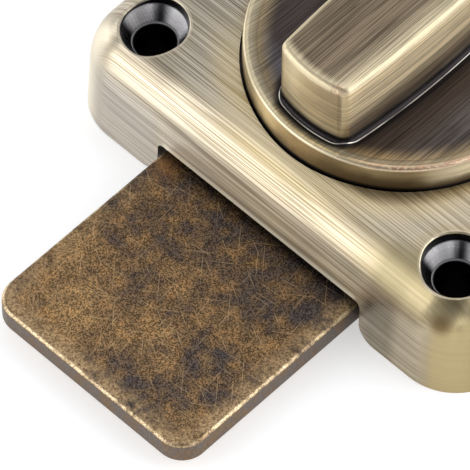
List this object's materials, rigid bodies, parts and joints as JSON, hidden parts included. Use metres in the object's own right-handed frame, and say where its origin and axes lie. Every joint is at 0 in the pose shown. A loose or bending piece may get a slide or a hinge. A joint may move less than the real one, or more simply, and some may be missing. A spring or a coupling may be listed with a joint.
{
  "type": "sliding door bolt",
  "caption": "Surface-mounted sliding door bolt: a rounded case whose round knob with a bar grip throws a flat, wide bolt by a quarter turn.",
  "frame": {"origin": "on the knob's axis at the door's face, which is also the centre of the four mounting holes", "axes": "+X the way the bolt is thrown, +Z out of the door towards the knob, +Y across the bolt"},
  "size_m": [0.081, 0.0676, 0.0292],
  "materials": {
    "case_bronze": "brushed antique bronze, satin lacquered",
    "knob_bronze": "antique bronze, dark in the dish and bright on worn edges",
    "bolt_bronze": "mottled antique bronze with fine scratches",
    "bush_brass": "turned brass",
    "plate_steel": "zinc-plated sheet steel",
    "screw_steel": "zinc-plated steel",
    "spindle_steel": "turned steel",
    "driver_steel": "sintered steel",
    "spring_steel": "blued spring steel",
    "washer_polymer": "dark acetal"
  },
  "bodies": {
    "case": {"case": "case_bronze", "back_plate": "plate_steel", "back_plate_screw_1": "screw_steel", "back_plate_screw_2": "screw_steel", "back_plate_screw_3": "screw_steel", "back_plate_screw_4": "screw_steel", "bearing_bush": "bush_brass", "thrust_washer": "washer_polymer", "detent_spring_1": "spring_steel", "detent_spring_2": "spring_steel", "detent_spring_screw_1": "screw_steel", "detent_spring_screw_2": "screw_steel"},
    "knob": {"thumb_turn": "knob_bronze", "knob_spindle": "spindle_steel", "wave_washer": "spring_steel", "driver": "driver_steel", "driver_pin": "screw_steel", "driver_washer": "screw_steel", "driver_screw": "screw_steel"},
    "roller": {"driver_roller": "driver_steel"},
    "bolt": {"bolt": "bolt_bronze"}
  },
  "joints": [
    {"name": "knob_turn", "type": "hinge", "parent": "case", "child": "knob", "pos_m": [0, 0, 0.0156], "axis": [0, 0, 1], "range_deg": [0, 90], "deforming": ["detent_spring_1", "detent_spring_2"]},
    {"name": "bolt_slide", "type": "slide", "parent": "case", "child": "bolt", "axis": [1, 0, 0], "range_m": [-0.0262, 0]},
    {"name": "roller_spin", "type": "hinge", "parent": "knob", "child": "roller", "pos_m": [0.01308, 0.01308, 0.0035], "axis": [0, 0, 1], "continuous": true}
  ],
  "couplings": [
    {"joint": "bolt_slide", "follows": "knob_turn", "m_per_rad": -0.016656}
  ]
}
